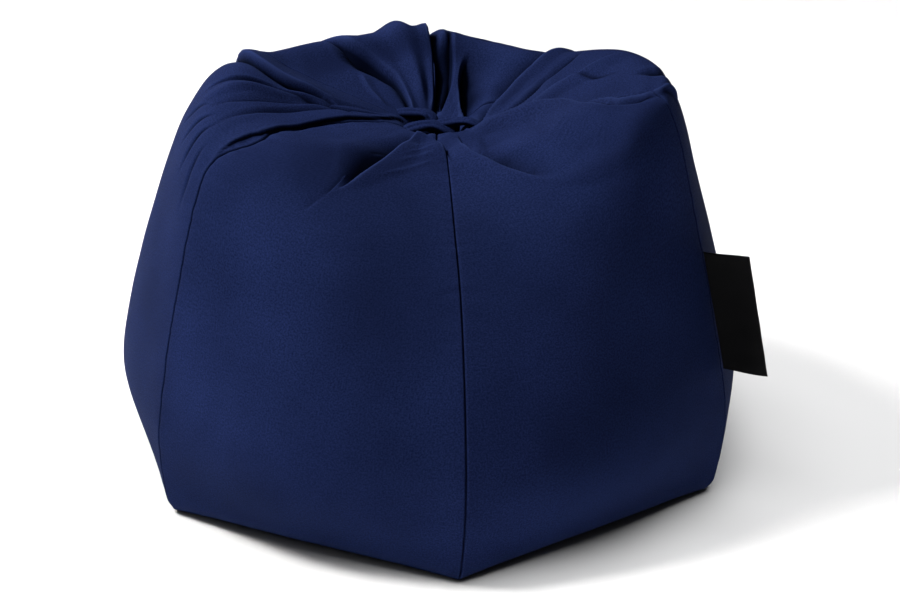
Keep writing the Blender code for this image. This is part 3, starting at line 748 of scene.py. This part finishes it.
def cover_cloth():
    """Close navy microfibre in plain weave, with a soft sheen, worn ridges and painted shade in its
    creases.
    """
    material, tree, shader = new_material("navy_cloth")
    cloth = add_group(tree, weave, (-900, 0), Threads_per_metre=1900.0, Slub_length=45.0)
    worn_and_shaded = add_group(tree, wear_and_shade_group, (-900, 300), Patch_size=7.0)
    nap = math_node(tree, "MULTIPLY_ADD", cloth["Nap"], NAP_CONTRAST, NAP_START, clamp=True)
    tone = math_node(tree, "MULTIPLY", math_node(tree, "ADD", nap, cloth["Slub"]), 0.5, place=(-700, 100))
    thread = mix_colour(tree, tone, NAVY, NAVY_LIGHT, (-600, 200))
    # Painted shade: creases, hollows, seam grooves and the knot are mixed towards the dark navy
    patchy_and_shaded = mix_colour(tree, worn_and_shaded["Shade"], NAVY_PAINTED_SHADE, thread, (-400, 200))
    join(tree, shader["Base Color"], mix_colour(tree, worn_and_shaded["Worn"], patchy_and_shaded, NAVY_WORN, (-200, 200)))
    rough = math_node(tree, "MULTIPLY_ADD", cloth["Slub"], SLUB_ROUGHNESS, NAVY_ROUGHNESS)
    join(tree, shader["Roughness"], rough)
    relief = math_node(tree, "MULTIPLY_ADD", cloth["Slub"], SLUB_RELIEF, cloth["Height"])
    thread_relief(tree, shader, relief, NAVY_RELIEF, NAVY_RELIEF_DEPTH)
    shader["Sheen Weight"].default_value = NAVY_SHEEN_WEIGHT
    shader["Sheen Roughness"].default_value = NAVY_SHEEN_ROUGHNESS
    shader["Sheen Tint"].default_value = NAVY_SHEEN
    shader["Specular IOR Level"].default_value = NAVY_SHINE
    return material


navy_cloth = cover_cloth()
for k, node in enumerate(PANELS):
    panel = sew_panel(k)
    panel.data.materials.append(navy_cloth)
    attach(panel, "root")
    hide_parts(node)

# Base panel: one six-sided sheet of the same cloth, its edge turned up into the seam with the side panels.
# It lies flat on the floor and shows only from below.
BASE_INSET = 0.008
BASE_COLUMNS = 24
BASE_RINGS = (0.25, 0.5, 0.75, 0.9, 0.97)
BASE_EDGE = ((0.99, 0.0), (1.0, 0.0006), (0.998, BASE_THICKNESS))


def base_outline():
    """The seam line round the base, in order, one sixth at a time."""
    across = np.arange(BASE_COLUMNS) / BASE_COLUMNS
    station = np.full(BASE_COLUMNS, float(EDGE))
    lines = []
    for k in range(len(SEAMS)):
        low, high = seam_azimuth(k, station), seam_azimuth(k + 1, station)
        lines.append(filled_points(low + (high - low) * across, station, across))
    line = np.concatenate(lines) * (1, 1, 0)
    return line * (1 - BASE_INSET / np.linalg.norm(line, axis=1, keepdims=True))


def ringed_faces(turns, rings):
    """The faces of rings of points that one point closes at each end."""
    faces = []
    for j in range(turns):
        n = (j + 1) % turns
        faces.append((0, 1 + n, 1 + j))
        for ring in range(rings - 1):
            a, b = 1 + ring * turns, 1 + (ring + 1) * turns
            faces.append((a + j, a + n, b + n, b + j))
        last = 1 + (rings - 1) * turns
        faces.append((last + j, last + n, last + turns))
    return faces


def cut_base():
    """The base sheet as a closed form: its underside, its rounded edge and its upper side."""
    outline = base_outline()
    profile = [(share, 0.0) for share in BASE_RINGS]
    profile += BASE_EDGE
    profile += [(share, BASE_THICKNESS) for share in reversed(BASE_RINGS)]
    vertices = [(0.0, 0.0, 0.0)]
    for share, height in profile:
        vertices += [(x * share, y * share, height) for x, y, _ in outline]
    vertices.append((0.0, 0.0, BASE_THICKNESS))
    faces = ringed_faces(len(outline), len(profile))
    uvs = [(x, y) for x, y, _ in vertices]
    return mesh_object("base_sheet", vertices, faces, uvs, np.zeros(len(vertices)))


base = cut_base()
base.data.materials.append(navy_cloth)
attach(base, "root")
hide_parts("base_panel")

# Neck: the panels' upper ends, of the same cloth, drawn together and stitched. They are pushed down into a
# twisted knot of small folds, and a few rolled ends lie over it. A tail below it fills the neck.
KNOT_FOLDS = 9
KNOT_TURNS = 192
KNOT_RINGS = 44
KNOT_TAIL = (0.3, 0.7, 0.95)
KNOT_EYE = 0.04
KNOT_RISE = 0.004
KNOT_PIT = 0.006
KNOT_FOLD_DEPTH = 0.0045
KNOT_FOLD_SHARP = 0.7
KNOT_FOLD_SLIP = 0.0022
KNOT_RIM = 0.25
KNOT_DRAW = 0.06
KNOT_TWIST = 1.1
KNOT_UNEVEN = 0.25
# Painted shade over the whole knot
KNOT_SHADE = -0.8

# The rolled ends, as lines of points from the neck's middle
Strip = namedtuple("Strip", "width thickness line")
STRIPS = (
    Strip(0.014, 0.0065, ((-0.056, -0.022, -0.010), (-0.040, -0.020, 0.003), (-0.022, -0.017, 0.008),
                          (-0.002, -0.016, 0.009), (0.016, -0.020, 0.003), (0.030, -0.026, -0.010))),
    Strip(0.011, 0.0055, ((-0.012, 0.004, 0.000), (0.0047, -0.008, 0.009), (0.023, -0.012, 0.0125),
                          (0.044, -0.018, 0.0150), (0.060, -0.024, 0.010))),
    Strip(0.012, 0.0060, ((-0.078, 0.036, 0.002), (-0.050, 0.028, 0.013), (-0.024, 0.022, 0.0150),
                          (-0.008, 0.016, 0.012), (0.000, 0.006, 0.000))),
    Strip(0.010, 0.0080, ((0.036, 0.034, -0.008), (0.026, 0.018, -0.002), (0.014, 0.006, -0.002),
                          (0.004, -0.004, -0.012))),
    Strip(0.010, 0.0080, ((-0.030, 0.034, -0.008), (-0.020, 0.020, 0.000), (-0.006, 0.010, 0.000),
                          (0.006, 0.000, -0.012))),
)
STRIP_STEPS = 40
STRIP_TURNS = 28
STRIP_END = 0.35
STRIP_TAPER = 0.6
STRIP_CREASE = 0.35
STRIP_CREASE_TURN = 0.9
STRIP_CREASE_WIDTH = 0.22
STRIP_RIPPLE = 0.08
STRIP_RIPPLES = 3
STRIP_RIPPLE_LEAN = 9
# Painted shade on the underside of each rolled end
STRIP_SHADE = 0.55
STRIP_SHADE_BELOW = 0.8


def roll_strip(strip, first):
    """One rolled end as a closed tube along a line, creased along one side, thin at its ends, shaded below.
    """
    at = np.linspace(0, len(strip.line) - 1, STRIP_STEPS)
    middle = np.stack([spline([p[k] for p in strip.line], at) for k in range(3)], axis=-1)
    middle += (NECK_OFFSET.x, NECK_OFFSET.y, NECK_HEIGHT)
    along = unit(np.gradient(middle, axis=0))
    across = unit(np.cross(along, (0.0, 0.0, 1.0)))
    upward = np.cross(across, along)
    share = np.linspace(0, 1, STRIP_STEPS)[:, None]
    turn = np.linspace(0, 2 * math.pi, STRIP_TURNS, endpoint=False)
    reach = STRIP_END + (1 - STRIP_END) * np.sin(math.pi * share) ** STRIP_TAPER
    reach = reach * (1 - STRIP_CREASE * np.exp(-((turn - STRIP_CREASE_TURN) / STRIP_CREASE_WIDTH) ** 2))
    reach = reach * (1 + STRIP_RIPPLE * np.sin(STRIP_RIPPLES * turn + STRIP_RIPPLE_LEAN * share))
    wide = (reach * strip.width * np.cos(turn))[..., None] * across[:, None]
    high = (reach * strip.thickness * np.sin(turn))[..., None] * upward[:, None]
    vertices = list((middle[:, None] + wide + high).reshape(-1, 3)) + [middle[0], middle[-1]]
    # Painted shade under each rolled end and at its tips
    shade = -smooth(STRIP_SHADE - STRIP_SHADE_BELOW * np.sin(turn))
    marks = list(np.tile(shade, STRIP_STEPS)) + [-1.0, -1.0]
    faces = []
    for j in range(STRIP_TURNS):
        n = (j + 1) % STRIP_TURNS
        for i in range(STRIP_STEPS - 1):
            a, b = first + i * STRIP_TURNS, first + (i + 1) * STRIP_TURNS
            faces.append((a + j, a + n, b + n, b + j))
        faces.append((first + n, first + j, first + len(vertices) - 2))
        last = first + (STRIP_STEPS - 1) * STRIP_TURNS
        faces.append((last + j, last + n, first + len(vertices) - 1))
    return vertices, faces, marks


def tie_knot():
    """The knot as a closed form: a folded top over a plain tail that fills the neck."""
    slope = NECK_RADIUS / NECK_ROOT_DEPTH
    root = NECK_HEIGHT - NECK_ROOT_DEPTH + GAP * math.hypot(1.0, slope) / slope
    widest = (NECK_HEIGHT - root) * slope
    turn = np.linspace(0, 2 * math.pi, KNOT_TURNS, endpoint=False)
    vertices = [np.array(((0.0, 0.0, root),))]
    for share in KNOT_TAIL:
        ring = np.stack((widest * share * np.sin(turn), -widest * share * np.cos(turn)), axis=-1)
        height = np.full((KNOT_TURNS, 1), root + share * (NECK_HEIGHT - root))
        vertices.append(np.concatenate((ring, height), axis=1))
    for share in np.linspace(1.0, KNOT_EYE, KNOT_RINGS):
        swirl = turn + KNOT_TWIST * (1 - share) + KNOT_UNEVEN * np.sin(2 * turn)
        fold = 1 - 2 * np.abs(np.sin(0.5 * KNOT_FOLDS * swirl)) ** KNOT_FOLD_SHARP
        body = smooth((1 - share) / KNOT_RIM) * share
        height = NECK_HEIGHT + KNOT_RISE * math.sin(math.pi * share) + KNOT_FOLD_DEPTH * fold * body
        height -= KNOT_PIT * (1 - share) ** 3
        slip = KNOT_FOLD_SLIP * np.sin(KNOT_FOLDS * swirl) * body
        reach = widest * share * (1 - KNOT_DRAW * body)
        x = reach * np.sin(turn) + slip * np.cos(turn)
        y = -reach * np.cos(turn) + slip * np.sin(turn)
        vertices.append(np.stack((x, y, height), axis=-1))
    vertices.append(np.array(((0.0, 0.0, NECK_HEIGHT - KNOT_PIT),)))
    faces = ringed_faces(KNOT_TURNS, len(vertices) - 2)
    vertices = np.concatenate(vertices) + np.array(NECK_OFFSET)
    vertices[:, 2] -= PIT_DEPTH * np.clip((vertices[:, 2] - root) / (NECK_HEIGHT - root), 0, 1)
    vertices = list(vertices)
    # The knot is painted in shade all over
    marks = [KNOT_SHADE] * len(vertices)
    for strip in STRIPS:
        more, rolled, shaded = roll_strip(strip, len(vertices))
        vertices += more
        faces += rolled
        marks += shaded
    vertices = np.array(vertices)
    return mesh_object("neck_knot", vertices, faces, vertices[:, :2], marks)


knot = tie_knot()
knot.data.materials.append(navy_cloth)
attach(knot, "root")
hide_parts("neck_gather")

# Label: a black woven tape folded double at its outer end, both cut ends caught in the right seam. The two
# layers lie close together at the seam and part a little towards the fold.
LABEL_SEAM = 1
LABEL_TOP = 4.765
LABEL_FOOT = 5.64
LABEL_WIDTH = 0.058
LABEL_LAYER = 0.0006
LABEL_PART = 0.0012
LABEL_PART_ENDS = 0.6
LABEL_LEAST_PART = 0.0001
LABEL_WAVE = 0.004
LABEL_ROLL = 2.4
LABEL_RIPPLE = 0.0004
LABEL_RIPPLES = 23
LABEL_RIPPLE_LEAN = 3
LABEL_LIFT = 0.002
LABEL_ROWS = 90
LABEL_COLUMNS = 40
LABEL_FOLD_COLUMNS = 8
LABEL_BLACK = (0.0012, 0.0012, 0.0016, 1.0)
LABEL_GREY = (0.0050, 0.0050, 0.0058, 1.0)
LABEL_ROUGHNESS = 0.50
LABEL_SLUB_ROUGHNESS = 0.2
LABEL_RELIEF = 0.5
LABEL_RELIEF_DEPTH = 0.0002
LABEL_SHINE = 0.08


def label_lines():
    """The seam's points beside the label, the way out of the seam and the way across the label."""
    station = np.linspace(LABEL_TOP, LABEL_FOOT, LABEL_ROWS + 1)
    azimuth = seam_azimuth(LABEL_SEAM, station)
    root = filled_points(azimuth, station, np.zeros_like(station))
    a = np.radians(azimuth)
    outward = np.stack((np.sin(a), -np.cos(a), 0 * a), axis=-1)
    sideways = np.stack((np.cos(a), np.sin(a), 0 * a), axis=-1)
    return root, outward, sideways


def weave_label():
    """The label as a closed form: out along one layer, round the fold, back along the other, inside too."""
    root, outward, sideways = label_lines()
    down = np.linspace(0, 1, LABEL_ROWS + 1)
    flat = np.linspace(0, 1, LABEL_COLUMNS)
    turn = np.linspace(0, math.pi, LABEL_FOLD_COLUMNS + 2)[1:-1]
    path = [(out, 1.0, 0.0) for out in flat]
    path += [(1.0, math.cos(a), math.sin(a)) for a in turn]
    path += [(out, -1.0, 0.0) for out in flat[::-1]]
    parted = LABEL_PART_ENDS + (1 - LABEL_PART_ENDS) * np.sin(math.pi * down)
    layers = []
    for inner in (False, True):
        for out, side, bulge in path:
            half = LABEL_PART * smooth(out) * parted + LABEL_LEAST_PART + (0.0 if inner else LABEL_LAYER)
            wave = LABEL_WAVE * out * np.sin(LABEL_ROLL * out + math.pi * down)
            wave += LABEL_RIPPLE * out * np.sin(LABEL_RIPPLES * down + LABEL_RIPPLE_LEAN * out)
            reach = LABEL_WIDTH * out + bulge * half - 0.5 * LABEL_LAYER
            row = root + outward * (1.5 * GAP + reach)[:, None] + sideways * (wave + side * half)[:, None]
            row[:, 2] += LABEL_LIFT * out * out
            layers.append(row)
    columns = len(path)
    vertices = np.stack(layers, axis=1).reshape(-1, 3)
    stride = 2 * columns
    faces = []
    for i in range(LABEL_ROWS):
        for j in range(columns - 1):
            a, b = i * stride + j, (i + 1) * stride + j
            faces.append((a, b, b + 1, a + 1))
            faces.append((a + columns, a + columns + 1, b + columns + 1, b + columns))
        for j in (0, columns - 1):
            a, b = i * stride + j, (i + 1) * stride + j
            face = (a, a + columns, b + columns, b)
            faces.append(face if j == 0 else face[::-1])
    for i in (0, LABEL_ROWS):
        for j in range(columns - 1):
            a = i * stride + j
            face = (a, a + 1, a + 1 + columns, a + columns)
            faces.append(face if i == 0 else face[::-1])
    across = np.array([out for out, _, _ in path] * 2) * LABEL_WIDTH
    length = np.linalg.norm(np.diff(root, axis=0), axis=1).sum()
    uvs = np.stack(np.broadcast_arrays(across[None, :], (down * length)[:, None]), axis=-1).reshape(-1, 2)
    return mesh_object("label_tape", vertices, faces, uvs, np.zeros(len(vertices)))


def label_cloth():
    """Black tape in a fine weave of slightly uneven threads, a little smoother than the cover."""
    material, tree, shader = new_material("label_tape")
    tape = add_group(tree, weave, (-900, 0), Threads_per_metre=2600.0, Slub_length=30.0)
    join(tree, shader["Base Color"], mix_colour(tree, tape["Slub"], LABEL_BLACK, LABEL_GREY, (-500, 200)))
    rough = math_node(tree, "MULTIPLY_ADD", tape["Slub"], LABEL_SLUB_ROUGHNESS, LABEL_ROUGHNESS)
    join(tree, shader["Roughness"], rough)
    thread_relief(tree, shader, tape["Height"], LABEL_RELIEF, LABEL_RELIEF_DEPTH)
    shader["Specular IOR Level"].default_value = LABEL_SHINE
    return material


label = weave_label()
label.data.materials.append(label_cloth())
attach(label, "root")
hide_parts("label")

# Studio: a plain pale floor, a strong soft light from the upper left, a weak one from the front and a weak
# one from behind.
FLOOR_SIZE = 30.0
FLOOR_COLOUR = (0.28, 0.28, 0.282, 1.0)
FLOOR_ROUGHNESS = 0.9


def lay_floor():
    """The floor, one large matt sheet."""
    half = FLOOR_SIZE / 2
    corners = [(-half, -half, 0), (half, -half, 0), (half, half, 0), (-half, half, 0)]
    floor = mesh_object("floor", corners, [(0, 1, 2, 3)])
    material, _, shader = new_material("pale_floor")
    shader["Base Color"].default_value = FLOOR_COLOUR
    shader["Roughness"].default_value = FLOOR_ROUGHNESS
    floor.data.materials.append(material)
    return floor


lay_floor()

Light = namedtuple("Light", "name place aim size power colour")
LIGHTS = (
    Light("key_light", (-2.0, -0.15, 2.95), (0.0, 0.0, 0.25), 0.8, 178.0, (1.0, 0.985, 0.96)),
    Light("front_light", (-1.2, -2.5, 2.6), (0.0, 0.0, 0.25), 1.5, 10.0, (0.98, 0.99, 1.0)),
    Light("back_light", (-1.6, 2.3, 1.4), (0.0, 0.0, 0.4), 0.9, 12.0, (1.0, 1.0, 1.0)),
)
for light in LIGHTS:
    lamp = bpy.data.lights.new(light.name, "AREA")
    lamp.energy = light.power
    lamp.size = light.size
    lamp.color = light.colour
    holder = bpy.data.objects.new(light.name, lamp)
    holder.location = light.place
    way = Vector(light.aim) - Vector(light.place)
    holder.rotation_euler = way.to_track_quat("-Z", "Y").to_euler()
    bpy.context.scene.collection.objects.link(holder)

# A wide light from straight above that reaches the floor alone, so that it stays pale all round the bag
FLOOR_LIGHT_POWER = 8.5
FLOOR_LIGHT_ANGLE = math.radians(60)
lamp = bpy.data.lights.new("floor_light", "SUN")
lamp.energy = FLOOR_LIGHT_POWER
lamp.angle = FLOOR_LIGHT_ANGLE
holder = bpy.data.objects.new("floor_light", lamp)
holder.location = (0.0, 0.0, 3.0)
lit_floor = bpy.data.collections.new("lit_floor")
lit_floor.objects.link(bpy.data.objects["floor"])
holder.light_linking.receiver_collection = lit_floor
bpy.context.scene.collection.objects.link(holder)

SKY_STRENGTH = 0.05
world = bpy.data.worlds.new("studio")
world.use_nodes = True
sky = world.node_tree.nodes["Background"].inputs
sky["Color"].default_value = (1.0, 1.0, 1.0, 1.0)
sky["Strength"].default_value = SKY_STRENGTH
bpy.context.scene.world = world
bpy.context.scene.view_settings.view_transform = "Standard"

# Camera: it stands in front of the bag and a little above it, as for the photograph, and looks at a point
# a little to the right of the bag's middle.
CAMERA_DISTANCE = 2.4
CAMERA_ELEVATION = math.radians(23)
CAMERA_TARGET = Vector((0.0255, 0.0, 0.1945))
CAMERA_LENS = 68.9

lens = bpy.data.cameras.new("camera")
lens.sensor_width = 36.0
lens.lens = CAMERA_LENS
camera = bpy.data.objects.new("camera", lens)
back = Vector((0.0, -math.cos(CAMERA_ELEVATION), math.sin(CAMERA_ELEVATION)))
camera.location = CAMERA_TARGET + back * CAMERA_DISTANCE
camera.rotation_euler = (-back).to_track_quat("-Z", "Y").to_euler()
bpy.context.scene.collection.objects.link(camera)
bpy.context.scene.camera = camera
